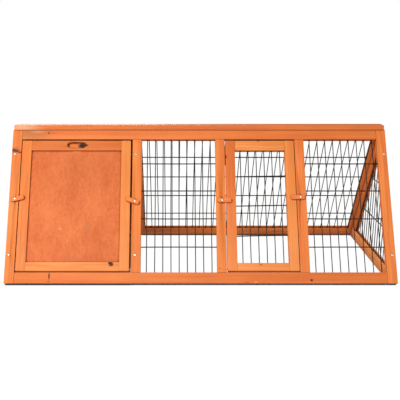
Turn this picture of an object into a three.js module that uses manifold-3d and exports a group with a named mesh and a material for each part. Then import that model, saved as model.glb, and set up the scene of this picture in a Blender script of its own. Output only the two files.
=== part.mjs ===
// Outdoor rabbit run: a long A-frame of stained softwood battens, with a boarded hide at its left
// end, a wire run beside it, and two drop-down doors in the sloping front.
// Millimetres, +Z up. The origin is on the ground, under the middle of the ridge. The front is -Y.
import * as THREE from 'three';
import { mergeVertices } from 'three/addons/utils/BufferGeometryUtils.js';
import Module from 'manifold-3d';

const wasm = await Module();
wasm.setup();
const { Manifold, Mesh } = wasm;

// Driving dimensions of the whole run.
const LENGTH = 1200;              // over the two end stiles
const FOOT_Y = 261;               // from the middle to the lower outer edge of each sloping panel
const SLOPE = THREE.MathUtils.degToRad(60);
const TIMBER = 18;                // thickness of every batten
const RIDGE_FLAT = 12;            // half of the level top on which the ridge cap lies

// Battens of the sloping panels.
const STILE = 30;                 // width of the stiles and posts
const BOTTOM_RAIL = 34;
const TOP_RAIL = 33;
const HIDE_DOOR_BAY = 356;        // clear widths between the uprights, from the left
const FIRST_MESH_BAY = 235;
const MESH_DOOR_BAY = 224;

// Triangular ends and partition.
const END_INSET = 1;              // from the outer face of the stiles to the end frames
const END_RAIL = 28;              // width of the slanting end rails
const END_BOTTOM_RAIL = 34;
const PARTITION_SHIFT = 3;        // from the middle of the first post, to the left
const PARTITION_LIFT = 60;        // from the ground to the partition's lower edge
const REAR_POST_PROUD = 3;        // how far the rear post shows past the partition
const DOORWAY_WIDTH = 160;
const DOORWAY_HEIGHT = 190;

// Ridge cap.
const CAP_DEPTH = 30;
const CAP_HEIGHT = 15;
const CAP_SHORT = 4;              // how far each end stops short of the stiles
const CAP_ROUND = 4;

// Plywood, welded mesh and the grooves that hold them.
const PLYWOOD = 5;
const PLYWOOD_CLEARANCE = 0.3;    // each side of the board in its groove
const UPRIGHT_WIRE_RADIUS = 1.2;
const CROSS_WIRE_RADIUS = 1.6;
const WIRE_SIDES = 6;
const WELD = 0.4;                 // how deep crossing wires sink into each other
const MESH_PITCH = 25.2;
const MESH_ROW_PITCH = 90.5;
const MESH_ROW_FIRST = 80;        // from the bottom rail to the lowest cross wire
const REAR_MESH_ROW_FIRST = 76.5;
const FIRST_MESH_START = 17.8;    // from the left edge of each opening to its first upright wire
const LAST_MESH_START = 19.4;
const DOOR_MESH_START = 17.5;
const REAR_MESH_START = 27;
const DOOR_MESH_ROW_FIRST = 87;
const DOOR_MESH_ROW_PITCH = 96.7;
const END_MESH_ROW_FIRST = 107;
const END_MESH_ROW_PITCH = 125.5;
const MESH_CLEARANCE = 0.3;
const GROOVE_DEPTH = 7;
const EDGE_BITE = 6;              // how far a board or wire reaches into its groove

// Doors.
const DOOR_STILE = 30;
const DOOR_TOP_RAIL = 33;
const HIDE_DOOR_BOTTOM_RAIL = 30;
const MESH_DOOR_BOTTOM_RAIL = 27.5;
const DOOR_GAP_BELOW = 1.5;
const DOOR_GAP_ABOVE = 4.5;
const HIDE_DOOR_GAPS = [2.5, 5.5];   // left and right
const MESH_DOOR_GAPS = [2.5, 2];
const SLOT_LENGTH = 58;           // finger slot, in the middle of the hide door
const SLOT_WIDTH = 19;
const SLOT_DEPTH = 10;
const SLOT_BELOW_TOP = 15;        // from the top of the door to the middle of the slot
const STOP_BELOW_RAIL = 60;       // from the top rail to the middle of the door stops
const STOP_LENGTH = 40;
const STOP_THICKNESS = 9;
const STOP_REACH = 14;            // how far a stop stands behind its door
const STOP_LAP = 24;              // how far it lies behind the post that carries it

// Hinge pins, screws and turn-buttons.
const PIN_RADIUS = 2;
const PIN_LENGTH = 28;
const BORE_CLEARANCE = 0.3;
const BORE_END = 1;               // free space past the tip of a pin or screw
const SCREW_RADIUS = 1.75;
const SCREW_HEAD_RADIUS = 4;
const SCREW_HEAD_HEIGHT = 2.4;
const FRAME_SCREW_LENGTH = 35;
const FRAME_SCREW_ABOVE = 54;     // from the bottom rail to the lower frame screws
const FRAME_SCREW_BELOW = 50;     // from the top rail to the upper ones
const BUTTON_SCREW_LENGTH = 22;
const BUTTON_LENGTH = 46;
const BUTTON_WIDTH = 14;
const BUTTON_THICKNESS = 8;
const BUTTON_PIVOT = 15.5;        // from the short end of the button to its screw
const BUTTON_EDGE = 1;
const BUTTON_OFFSET_X = [5, -5, 4, -4];   // of each screw from the middle of its upright
const BUTTON_OFFSET_Y = [17, 9, 13, 23];  // and above the middle of the doors
const BUTTON_DEGREES = [13, 160, 0, 180]; // way the long end points at rest

const SEAT = 0.3;                 // gap that touching pieces keep
const ROUND_SEGMENTS = 16;

// Places that follow from the driving dimensions.
const HALF = LENGTH / 2;
const MID = -TIMBER / 2;
const FOOT_Z = TIMBER * Math.cos(SLOPE);
const INNER_FOOT_Y = FOOT_Y - TIMBER * Math.sin(SLOPE);
const CAP_UNDERSIDE = FOOT_Z + (FOOT_Y - RIDGE_FLAT) * Math.tan(SLOPE);
const TOP_RAIL_Y = (FOOT_Y - RIDGE_FLAT) / Math.cos(SLOPE) - TOP_RAIL;
const BAY_1 = [-HALF + STILE, -HALF + STILE + HIDE_DOOR_BAY];
const BAY_2 = [BAY_1[1] + STILE, BAY_1[1] + STILE + FIRST_MESH_BAY];
const BAY_3 = [BAY_2[1] + STILE, BAY_2[1] + STILE + MESH_DOOR_BAY];
const BAY_4 = [BAY_3[1] + STILE, HALF - STILE];
const PARTITION_X = (BAY_1[1] + BAY_2[0]) / 2 - PARTITION_SHIFT;
const REAR_POST_EDGE = PARTITION_X + TIMBER / 2 + REAR_POST_PROUD;
const REAR_HIDE_BAY = [-HALF + STILE, REAR_POST_EDGE - STILE];
const REAR_RUN_BAY = [REAR_POST_EDGE, HALF - STILE];
const END_X = HALF - END_INSET - TIMBER / 2;
const DOOR_Y = [BOTTOM_RAIL + DOOR_GAP_BELOW, TOP_RAIL_Y - DOOR_GAP_ABOVE];
const HIDE_DOOR_X = [BAY_1[0] + HIDE_DOOR_GAPS[0], BAY_1[1] - HIDE_DOOR_GAPS[1]];
const MESH_DOOR_X = [BAY_3[0] + MESH_DOOR_GAPS[0], BAY_3[1] - MESH_DOOR_GAPS[1]];
const PIN_Y = DOOR_Y[0] + TIMBER / 2;
const FRAME_SCREW_Y = [BOTTOM_RAIL + FRAME_SCREW_ABOVE, TOP_RAIL_Y - FRAME_SCREW_BELOW];
const UPRIGHTS_BESIDE_DOORS = [BAY_1[0] - STILE / 2, BAY_1[1] + STILE / 2, BAY_3[0] - STILE / 2,
  BAY_3[1] + STILE / 2];
const BUTTON_X = UPRIGHTS_BESIDE_DOORS.map((x, index) => x + BUTTON_OFFSET_X[index]);
const BUTTON_Y = BUTTON_OFFSET_Y.map((offset) => (DOOR_Y[0] + DOOR_Y[1]) / 2 + offset);
const MESH_THICKNESS = 2 * UPRIGHT_WIRE_RADIUS + 2 * CROSS_WIRE_RADIUS - WELD;
const MESH_GROOVE = MESH_THICKNESS + 2 * MESH_CLEARANCE;
const PLYWOOD_GROOVE = PLYWOOD + 2 * PLYWOOD_CLEARANCE;

// Finishes.
const finish = (color, roughness, metalness) =>
  new THREE.MeshStandardMaterial({ color, roughness, metalness });
const STAINED_WOOD = finish(0xe98a4c, 0.62, 0);
const STAINED_PLYWOOD = finish(0xdd7c48, 0.7, 0);
const WIRE = finish(0x2b2522, 0.45, 0.6);
const ZINC = finish(0xc9ccd0, 0.3, 1);

// Solids for boolean cuts and joins.
function toSolid(geometry) {
  const bare = geometry.clone();
  bare.deleteAttribute('normal');
  bare.deleteAttribute('uv');
  const merged = mergeVertices(bare, 1e-4);
  return new Manifold(new Mesh({
    numProp: 3,
    vertProperties: new Float32Array(merged.attributes.position.array),
    triVerts: new Uint32Array(merged.index.array),
  }));
}

function toGeometry(solid) {
  const { vertProperties, triVerts } = solid.getMesh();
  const geometry = new THREE.BufferGeometry();
  geometry.setAttribute('position', new THREE.BufferAttribute(new Float32Array(vertProperties), 3));
  geometry.setIndex(new THREE.BufferAttribute(new Uint32Array(triVerts), 1));
  const flat = geometry.toNonIndexed();
  flat.computeVertexNormals();
  return flat;
}

function cut(geometry, tools) {
  let solid = toSolid(geometry);
  for (const tool of tools) solid = solid.subtract(toSolid(tool));
  return toGeometry(solid);
}

// Basic shapes. A range is [low, high].
function block(xs, ys, zs) {
  const geometry = new THREE.BoxGeometry(xs[1] - xs[0], ys[1] - ys[0], zs[1] - zs[0]);
  return geometry.translate((xs[0] + xs[1]) / 2, (ys[0] + ys[1]) / 2, (zs[0] + zs[1]) / 2);
}

const ALONG_X = new THREE.Matrix4().makeBasis(
  new THREE.Vector3(0, 1, 0), new THREE.Vector3(0, 0, 1), new THREE.Vector3(1, 0, 0));
const ALONG_MINUS_Y = new THREE.Matrix4().makeBasis(
  new THREE.Vector3(1, 0, 0), new THREE.Vector3(0, 0, 1), new THREE.Vector3(0, -1, 0));

// An outline in Y and Z, carried along X.
function sectionAlongX(outline, xs, curveSegments = ROUND_SEGMENTS) {
  const shape = outline instanceof THREE.Shape ? outline : polygon(outline);
  const settings = { depth: xs[1] - xs[0], bevelEnabled: false, curveSegments };
  const geometry = new THREE.ExtrudeGeometry(shape, settings);
  return geometry.applyMatrix4(ALONG_X).translate(xs[0], 0, 0);
}

function polygon(points) {
  return new THREE.Shape(points.map(([u, v]) => new THREE.Vector2(u, v)));
}

function stadium(length, width) {
  const straight = length / 2 - width / 2;
  const shape = new THREE.Shape();
  shape.moveTo(-straight, -width / 2);
  shape.lineTo(straight, -width / 2);
  shape.absarc(straight, 0, width / 2, -Math.PI / 2, Math.PI / 2, false);
  shape.lineTo(-straight, width / 2);
  shape.absarc(-straight, 0, width / 2, Math.PI / 2, Math.PI * 1.5, false);
  return shape;
}

// A round bar between two points.
function bar(from, to, radius, sides = ROUND_SEGMENTS) {
  const start = new THREE.Vector3(...from);
  const way = new THREE.Vector3(...to).sub(start);
  const geometry = new THREE.CylinderGeometry(radius, radius, way.length(), sides);
  geometry.translate(0, way.length() / 2, 0);
  const turn = new THREE.Quaternion().setFromUnitVectors(new THREE.Vector3(0, 1, 0), way.normalize());
  return geometry.applyQuaternion(turn).translate(...from);
}

// Placing of pieces in the scene.
const run = new THREE.Group();

function slopingPanel(turn) {
  const side = new THREE.Group();
  side.rotation.z = turn;
  const panel = new THREE.Group();
  panel.position.set(0, -FOOT_Y, FOOT_Z);
  panel.rotation.x = SLOPE;
  side.add(panel);
  run.add(side);
  run.updateMatrixWorld(true);
  return panel;
}

function place(parent, name, geometry, material) {
  const mesh = new THREE.Mesh(geometry, material);
  mesh.name = name;
  parent.add(mesh);
  return mesh;
}

// Sloping panels: X along the run, Y up the slope from the lower outer edge, Z out of the panel, with
// the outer faces at Z = 0. Their tops are cut plumb against each other and level under the cap.
const front = slopingPanel(0);
const rear = slopingPanel(Math.PI);
const RISE = CAP_UNDERSIDE - SEAT - FOOT_Z;
const REACH = FOOT_Y - SEAT / 2;
const RIDGE_CUT = [
  [RISE / Math.sin(SLOPE), 0],
  [REACH * Math.cos(SLOPE) + RISE * Math.sin(SLOPE), RISE * Math.cos(SLOPE) - REACH * Math.sin(SLOPE)],
  [(REACH - TIMBER * Math.sin(SLOPE)) / Math.cos(SLOPE), -TIMBER],
];

function ridgeBatten(xs, fromY) {
  return sectionAlongX([[fromY, -TIMBER], [fromY, 0], ...RIDGE_CUT].reverse(), xs);
}

// The slot that holds a board or a net, all round its bay.
function groove(bay, low, high, width) {
  const xs = [bay[0] - GROOVE_DEPTH, bay[1] + GROOVE_DEPTH];
  const ys = [low - GROOVE_DEPTH, high + GROOVE_DEPTH];
  return block(xs, ys, [MID - width / 2, MID + width / 2]);
}

function panelBore(x, y, depth, radius = SCREW_RADIUS + BORE_CLEARANCE) {
  return bar([x, y, 1], [x, y, -depth], radius);
}

// Two layers of wires, welded where they cross. Uprights lie nearer the outer face.
function weldedNet(wires, rows, xs, ys, z) {
  const flat = Math.cos(Math.PI / WIRE_SIDES);
  const crossing = z + (CROSS_WIRE_RADIUS - UPRIGHT_WIRE_RADIUS) * flat;
  const uprightZ = crossing + UPRIGHT_WIRE_RADIUS * flat - WELD / 2;
  const crossZ = crossing - CROSS_WIRE_RADIUS * flat + WELD / 2;
  const wire = (from, to, radius) => {
    const along = new THREE.Vector3(...to).sub(new THREE.Vector3(...from));
    const geometry = new THREE.CylinderGeometry(radius, radius, along.length(), WIRE_SIDES);
    geometry.rotateY(Math.PI / WIRE_SIDES);
    geometry.translate(0, along.length() / 2, 0);
    if (along.x > along.y) geometry.rotateZ(-Math.PI / 2);
    return toSolid(geometry.translate(...from));
  };
  let net = null;
  for (const x of wires) {
    const upright = wire([x, ys[0], uprightZ], [x, ys[1], uprightZ], UPRIGHT_WIRE_RADIUS);
    net = net ? net.add(upright) : upright;
  }
  for (const y of rows) net = net.add(wire([xs[0], y, crossZ], [xs[1], y, crossZ], CROSS_WIRE_RADIUS));
  return net;
}

const series = (first, pitch, last) => {
  const values = [];
  for (let value = first; value < last; value += pitch) values.push(value);
  return values;
};

function panelNet(bay, ys, firstWire, firstRow, rowPitch) {
  const wires = series(firstWire, MESH_PITCH, bay[1]);
  const rows = series(ys[0] + firstRow, rowPitch, ys[1]);
  const width = [bay[0] - EDGE_BITE, bay[1] + EDGE_BITE];
  const height = [ys[0] - EDGE_BITE, ys[1] + EDGE_BITE];
  return toGeometry(weldedNet(wires, rows, width, height, MID));
}

const fullNet = (bay, firstWire, firstRow) =>
  panelNet(bay, [BOTTOM_RAIL, TOP_RAIL_Y], firstWire, firstRow, MESH_ROW_PITCH);

function boardIn(bay, low, high) {
  const xs = [bay[0] - EDGE_BITE, bay[1] + EDGE_BITE];
  const ys = [low - EDGE_BITE, high + EDGE_BITE];
  return block(xs, ys, [MID - PLYWOOD / 2, MID + PLYWOOD / 2]);
}

// Front frame.
function pinBore(bay, side, inward) {
  const edge = bay[side];
  const way = (side === 0 ? -1 : 1) * (inward ? -1 : 1);
  const start = edge - way;
  const end = edge + way * (PIN_LENGTH / 2 + BORE_END);
  return bar([start, PIN_Y, MID], [end, PIN_Y, MID], PIN_RADIUS + BORE_CLEARANCE);
}

function buttonBore(index) {
  const depth = BUTTON_SCREW_LENGTH - BUTTON_THICKNESS - SEAT;
  return panelBore(BUTTON_X[index], BUTTON_Y[index], depth + BORE_END);
}

const frameBores = (x) => FRAME_SCREW_Y.map((y) => panelBore(x, y, TIMBER + 1));
const meshGroove = (bay) => groove(bay, BOTTOM_RAIL, TOP_RAIL_Y, MESH_GROOVE);

function buildFrontFrame() {
  const postHeight = [BOTTOM_RAIL + SEAT, TOP_RAIL_Y - SEAT];
  const thickness = [-TIMBER, 0];
  const railSpan = [-HALF + STILE + SEAT, HALF - STILE - SEAT];
  const grooves = [meshGroove(BAY_2), meshGroove(BAY_4)];
  const post = (xs, tools) => cut(block(xs, postHeight, thickness), tools);
  const leftStile = cut(ridgeBatten([-HALF, -HALF + STILE], 0),
    [pinBore(BAY_1, 0), buttonBore(0), ...frameBores(-END_X)]);
  const rightStile = cut(ridgeBatten([HALF - STILE, HALF], 0), [grooves[1], ...frameBores(END_X)]);
  const post1 = post([BAY_1[1], BAY_2[0]],
    [grooves[0], pinBore(BAY_1, 1), buttonBore(1), ...frameBores(PARTITION_X)]);
  const post2 = post([BAY_2[1], BAY_3[0]], [grooves[0], pinBore(BAY_3, 0), buttonBore(2)]);
  const post3 = post([BAY_3[1], BAY_4[0]], [grooves[1], pinBore(BAY_3, 1), buttonBore(3)]);
  place(front, 'front_left_stile', leftStile, STAINED_WOOD);
  place(front, 'front_right_stile', rightStile, STAINED_WOOD);
  place(front, 'front_post_1', post1, STAINED_WOOD);
  place(front, 'front_post_2', post2, STAINED_WOOD);
  place(front, 'front_post_3', post3, STAINED_WOOD);
  place(front, 'front_top_rail', cut(ridgeBatten(railSpan, TOP_RAIL_Y), grooves), STAINED_WOOD);
  const bottomRail = cut(block(railSpan, [0, BOTTOM_RAIL], thickness), grooves);
  place(front, 'front_bottom_rail', bottomRail, STAINED_WOOD);
  place(front, 'front_mesh_1', fullNet(BAY_2, BAY_2[0] + FIRST_MESH_START, MESH_ROW_FIRST), WIRE);
  place(front, 'front_mesh_2', fullNet(BAY_4, BAY_4[0] + LAST_MESH_START, MESH_ROW_FIRST), WIRE);
}

// Rear frame. The rear panel is turned round, so its own X runs to the left of the run.
const mirrored = (range) => [-range[1], -range[0]];

function buildRearFrame() {
  const thickness = [-TIMBER, 0];
  const hideBay = mirrored(REAR_HIDE_BAY);
  const runBay = mirrored(REAR_RUN_BAY);
  const railSpan = [-HALF + STILE + SEAT, HALF - STILE - SEAT];
  const grooves = [groove(hideBay, BOTTOM_RAIL, TOP_RAIL_Y, PLYWOOD_GROOVE), meshGroove(runBay)];
  const leftStile = cut(ridgeBatten([HALF - STILE, HALF], 0), [grooves[0]]);
  const rightStile = cut(ridgeBatten([-HALF, -HALF + STILE], 0), [grooves[1]]);
  const post = block([runBay[1], hideBay[0]], [BOTTOM_RAIL + SEAT, TOP_RAIL_Y - SEAT], thickness);
  const wireCount = Math.floor((REAR_RUN_BAY[1] - REAR_RUN_BAY[0] - REAR_MESH_START) / MESH_PITCH);
  const firstWire = -(REAR_RUN_BAY[0] + REAR_MESH_START + wireCount * MESH_PITCH);
  place(rear, 'rear_left_stile', leftStile, STAINED_WOOD);
  place(rear, 'rear_right_stile', rightStile, STAINED_WOOD);
  place(rear, 'rear_post', cut(post, grooves), STAINED_WOOD);
  place(rear, 'rear_top_rail', cut(ridgeBatten(railSpan, TOP_RAIL_Y), grooves), STAINED_WOOD);
  const bottomRail = cut(block(railSpan, [0, BOTTOM_RAIL], thickness), grooves);
  place(rear, 'rear_bottom_rail', bottomRail, STAINED_WOOD);
  place(rear, 'rear_board', boardIn(hideBay, BOTTOM_RAIL, TOP_RAIL_Y), STAINED_PLYWOOD);
  place(rear, 'rear_mesh', fullNet(runBay, firstWire, REAR_MESH_ROW_FIRST), WIRE);
}

// Upright triangles between the sloping panels. A line parallel to the slope at a depth behind the
// inner faces stands at this distance from the middle.
const slantY = (z, depth) => INNER_FOOT_Y - depth / Math.sin(SLOPE) - z / Math.tan(SLOPE);
const slantApex = (depth, y) => (slantY(0, depth) - y) * Math.tan(SLOPE);

function triangle(depth, base) {
  const half = slantY(base, depth);
  return [[-half, base], [half, base], [0, slantApex(depth, 0)]];
}

function slantRail(side) {
  const base = END_BOTTOM_RAIL + SEAT;
  const plumb = SEAT / 2;
  const outline = [
    [slantY(base, SEAT), base],
    [plumb, slantApex(SEAT, plumb)],
    [plumb, slantApex(END_RAIL, plumb)],
    [slantY(base, END_RAIL), base],
  ];
  return outline.map(([y, z]) => [side * y, z]);
}

// The bores of the frame screws, from the front panel into the timber behind it.
function deepBores(x) {
  const tip = FRAME_SCREW_LENGTH + BORE_END;
  return FRAME_SCREW_Y.map((y) => panelBore(x, y, tip).applyMatrix4(front.matrixWorld));
}

function counterclockwise(outline) {
  return THREE.ShapeUtils.area(polygon(outline).getPoints()) < 0 ? [...outline].reverse() : outline;
}

function buildEnd(name, x, grooveWidth) {
  const xs = [x - TIMBER / 2, x + TIMBER / 2];
  const slotX = [x - grooveWidth / 2, x + grooveWidth / 2];
  const slot = sectionAlongX(triangle(END_RAIL - GROOVE_DEPTH, END_BOTTOM_RAIL - GROOVE_DEPTH), slotX);
  const rail = (outline, tools) => cut(sectionAlongX(counterclockwise(outline), xs), [slot, ...tools]);
  const foot = slantY(0, SEAT);
  const head = slantY(END_BOTTOM_RAIL, SEAT);
  const bottom = [[-foot, 0], [foot, 0], [head, END_BOTTOM_RAIL], [-head, END_BOTTOM_RAIL]];
  place(run, `${name}_front_rail`, rail(slantRail(-1), deepBores(x)), STAINED_WOOD);
  place(run, `${name}_rear_rail`, rail(slantRail(1), []), STAINED_WOOD);
  place(run, `${name}_bottom_rail`, rail(bottom, []), STAINED_WOOD);
}

function buildEnds() {
  const fill = triangle(END_RAIL - EDGE_BITE, END_BOTTOM_RAIL - EDGE_BITE);
  buildEnd('left_end', -END_X, PLYWOOD_GROOVE);
  const board = sectionAlongX(fill, [-END_X - PLYWOOD / 2, -END_X + PLYWOOD / 2]);
  place(run, 'left_end_board', board, STAINED_PLYWOOD);
  buildEnd('right_end', END_X, MESH_GROOVE);
  const reach = slantY(0, 0);
  const hiddenRow = END_BOTTOM_RAIL - EDGE_BITE / 2;
  // The outermost uprights still meet the hidden row inside the net's slanting edge.
  const lowest = hiddenRow - CROSS_WIRE_RADIUS / 2;
  const outermost = slantY(lowest, END_RAIL - EDGE_BITE) + UPRIGHT_WIRE_RADIUS / 2;
  const count = Math.floor(outermost / MESH_PITCH);
  const wires = series(-count * MESH_PITCH, MESH_PITCH, outermost);
  const firstRow = END_BOTTOM_RAIL + END_MESH_ROW_FIRST;
  const rows = [hiddenRow, ...series(firstRow, END_MESH_ROW_PITCH, slantApex(END_RAIL, 0))];
  const flat = weldedNet(wires, rows, [-reach, reach], [0, CAP_UNDERSIDE], 0);
  const upright = toSolid(toGeometry(flat).applyMatrix4(ALONG_X));
  const window = toSolid(sectionAlongX(fill, [-MESH_GROOVE, MESH_GROOVE]));
  const net = toGeometry(upright.intersect(window)).translate(END_X, 0, 0);
  place(run, 'right_end_mesh', net, WIRE);
}

function buildPartition() {
  const xs = [PARTITION_X - TIMBER / 2, PARTITION_X + TIMBER / 2];
  const radius = DOORWAY_WIDTH / 2;
  const spring = DOORWAY_HEIGHT - radius;
  const arch = new THREE.Shape();
  arch.moveTo(-radius, -1);
  arch.lineTo(radius, -1);
  arch.lineTo(radius, spring);
  arch.absarc(0, spring, radius, 0, Math.PI, false);
  arch.closePath();
  const doorway = sectionAlongX(arch, [xs[0] - 1, xs[1] + 1]);
  const board = sectionAlongX(triangle(SEAT, PARTITION_LIFT), xs);
  const partition = cut(board, [doorway, ...deepBores(PARTITION_X)]);
  place(run, 'partition_board', partition, STAINED_PLYWOOD);
}

function buildRidgeCap() {
  const end = HALF - CAP_SHORT;
  const low = CAP_UNDERSIDE;
  const high = CAP_UNDERSIDE + CAP_HEIGHT;
  const outline = new THREE.Shape();
  outline.moveTo(-end, low);
  outline.lineTo(end, low);
  outline.absarc(end - CAP_ROUND, high - CAP_ROUND, CAP_ROUND, 0, Math.PI / 2, false);
  outline.absarc(-end + CAP_ROUND, high - CAP_ROUND, CAP_ROUND, Math.PI / 2, Math.PI, false);
  outline.closePath();
  const settings = { depth: CAP_DEPTH, bevelEnabled: false, curveSegments: 6 };
  const cap = new THREE.ExtrudeGeometry(outline, settings);
  cap.applyMatrix4(ALONG_MINUS_Y).translate(0, CAP_DEPTH / 2, 0);
  place(run, 'ridge_cap', cap, STAINED_WOOD);
}

// Doors. Each one drops forward on two pins through its rounded lower corners.
function doorStick(xs, ys) {
  const radius = TIMBER / 2;
  const side = new THREE.Shape();
  side.moveTo(ys[0] + radius, -TIMBER);
  side.lineTo(ys[1], -TIMBER);
  side.lineTo(ys[1], 0);
  side.lineTo(ys[0] + radius, 0);
  side.absarc(ys[0] + radius, MID, radius, Math.PI / 2, Math.PI * 1.5, false);
  return sectionAlongX(side, xs);
}

function buildDoor(name, bay, xs, bottomRail, grooveWidth, railTools) {
  const inner = [xs[0] + DOOR_STILE, xs[1] - DOOR_STILE];
  const railSpan = [inner[0] + SEAT, inner[1] - SEAT];
  const opening = [DOOR_Y[0] + bottomRail, DOOR_Y[1] - DOOR_TOP_RAIL];
  const slot = groove(inner, opening[0], opening[1], grooveWidth);
  const bores = [pinBore(bay, 0, true), pinBore(bay, 1, true)];
  const topRail = block(railSpan, [opening[1], DOOR_Y[1]], [-TIMBER, 0]);
  const leftStile = cut(doorStick([xs[0], inner[0]], DOOR_Y), [slot, bores[0]]);
  const rightStile = cut(doorStick([inner[1], xs[1]], DOOR_Y), [slot, bores[1]]);
  const lowerRail = cut(doorStick(railSpan, [DOOR_Y[0], opening[0]]), [slot]);
  place(front, `${name}_left_stile`, leftStile, STAINED_WOOD);
  place(front, `${name}_right_stile`, rightStile, STAINED_WOOD);
  place(front, `${name}_top_rail`, cut(topRail, [slot, ...railTools]), STAINED_WOOD);
  place(front, `${name}_bottom_rail`, lowerRail, STAINED_WOOD);
  return { inner, opening };
}

function fingerSlot() {
  const settings = { depth: SLOT_DEPTH + 1, bevelEnabled: false, curveSegments: 8 };
  const slot = new THREE.ExtrudeGeometry(stadium(SLOT_LENGTH, SLOT_WIDTH), settings);
  const middle = (HIDE_DOOR_X[0] + HIDE_DOOR_X[1]) / 2;
  return slot.translate(middle, DOOR_Y[1] - SLOT_BELOW_TOP, -SLOT_DEPTH);
}

function buildDoors() {
  const hide = buildDoor('hide_door', BAY_1, HIDE_DOOR_X, HIDE_DOOR_BOTTOM_RAIL,
    PLYWOOD_GROOVE, [fingerSlot()]);
  place(front, 'hide_door_board', boardIn(hide.inner, ...hide.opening), STAINED_PLYWOOD);
  const mesh = buildDoor('mesh_door', BAY_3, MESH_DOOR_X, MESH_DOOR_BOTTOM_RAIL, MESH_GROOVE, []);
  const net = panelNet(mesh.inner, mesh.opening, mesh.inner[0] + DOOR_MESH_START,
    DOOR_MESH_ROW_FIRST, DOOR_MESH_ROW_PITCH);
  place(front, 'mesh_door_mesh', net, WIRE);
}

// A pin lies half in the upright beside the door and half in the door's stile.
function buildPins() {
  const edges = [[BAY_1[0], 1], [BAY_1[1], -1], [BAY_3[0], 1], [BAY_3[1], -1]];
  edges.forEach(([edge, way], index) => {
    const from = [edge - way * PIN_LENGTH / 2, PIN_Y, MID];
    const to = [edge + way * PIN_LENGTH / 2, PIN_Y, MID];
    place(front, `hinge_pin_${index + 1}`, bar(from, to, PIN_RADIUS), ZINC);
  });
}

// Blocks behind the uprights, which stop the doors in line with the frame.
function buildStops() {
  const leftEnd = -END_X + TIMBER / 2 + SEAT;
  const partitionFace = PARTITION_X - TIMBER / 2 - SEAT;
  const spans = [
    [leftEnd, HIDE_DOOR_X[0] + STOP_REACH],
    [HIDE_DOOR_X[1] - STOP_REACH, partitionFace],
    [BAY_3[0] - STOP_LAP, MESH_DOOR_X[0] + STOP_REACH],
    [MESH_DOOR_X[1] - STOP_REACH, BAY_3[1] + STOP_LAP],
  ];
  const middle = TOP_RAIL_Y - STOP_BELOW_RAIL;
  const ys = [middle - STOP_LENGTH / 2, middle + STOP_LENGTH / 2];
  const zs = [-TIMBER - SEAT - STOP_THICKNESS, -TIMBER - SEAT];
  spans.forEach((xs, index) => {
    place(front, `door_stop_${index + 1}`, block(xs, ys, zs), STAINED_WOOD);
  });
}

// A pan-head screw standing on z = 0, with its shank downwards.
function screw(length) {
  const profile = new THREE.Path();
  profile.moveTo(0, -length);
  profile.lineTo(SCREW_RADIUS * 0.3, -length);
  profile.lineTo(SCREW_RADIUS, -length + 2 * SCREW_RADIUS);
  profile.lineTo(SCREW_RADIUS, 0);
  profile.lineTo(SCREW_HEAD_RADIUS, 0);
  profile.lineTo(SCREW_HEAD_RADIUS, SCREW_HEAD_HEIGHT * 0.4);
  profile.quadraticCurveTo(SCREW_HEAD_RADIUS * 0.85, SCREW_HEAD_HEIGHT, 0, SCREW_HEAD_HEIGHT);
  const geometry = new THREE.LatheGeometry(profile.getPoints(4), ROUND_SEGMENTS);
  return geometry.rotateX(Math.PI / 2);
}

function buildFrameScrews() {
  let number = 0;
  for (const x of [-END_X, PARTITION_X, END_X]) {
    for (const y of FRAME_SCREW_Y) {
      number += 1;
      const mesh = place(front, `frame_screw_${number}`, screw(FRAME_SCREW_LENGTH), ZINC);
      mesh.position.set(x, y, SEAT);
    }
  }
}

// Flat tabs that turn on a screw and lie across the gap beside a door.
function turnButton() {
  const outline = stadium(BUTTON_LENGTH - 2 * BUTTON_EDGE, BUTTON_WIDTH - 2 * BUTTON_EDGE);
  const settings = {
    depth: BUTTON_THICKNESS - 2 * BUTTON_EDGE,
    bevelThickness: BUTTON_EDGE,
    bevelSize: BUTTON_EDGE,
    bevelSegments: 2,
    curveSegments: 10,
  };
  const tab = new THREE.ExtrudeGeometry(outline, settings);
  tab.translate(BUTTON_LENGTH / 2 - BUTTON_PIVOT, 0, BUTTON_EDGE);
  const bore = bar([0, 0, -1], [0, 0, BUTTON_THICKNESS + 1], SCREW_RADIUS + BORE_CLEARANCE);
  return cut(tab, [bore]);
}

function buildTurnButtons() {
  BUTTON_X.forEach((x, index) => {
    const pivot = new THREE.Group();
    pivot.position.set(x, BUTTON_Y[index], SEAT);
    front.add(pivot);
    const tab = place(pivot, `turn_button_${index + 1}`, turnButton(), STAINED_WOOD);
    tab.rotation.z = THREE.MathUtils.degToRad(BUTTON_DEGREES[index]);
    const fixing = place(pivot, `turn_button_screw_${index + 1}`, screw(BUTTON_SCREW_LENGTH), ZINC);
    fixing.position.z = BUTTON_THICKNESS + SEAT;
  });
}

buildFrontFrame();
buildRearFrame();
buildEnds();
buildPartition();
buildRidgeCap();
buildDoors();
buildPins();
buildStops();
buildFrameScrews();
buildTurnButtons();

export default run;
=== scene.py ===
"""The looks of a triangular outdoor rabbit run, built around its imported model.

Lengths are metres in the model's own frame: X along the ridge, the front towards -Y, Z up. A sloping
panel has a frame of its own: across along the run, up the slope, and out of the panel's outer face.
"""
from __future__ import annotations

import logging
import math
from collections.abc import Sequence
from dataclasses import dataclass, field
from enum import Enum

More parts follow.
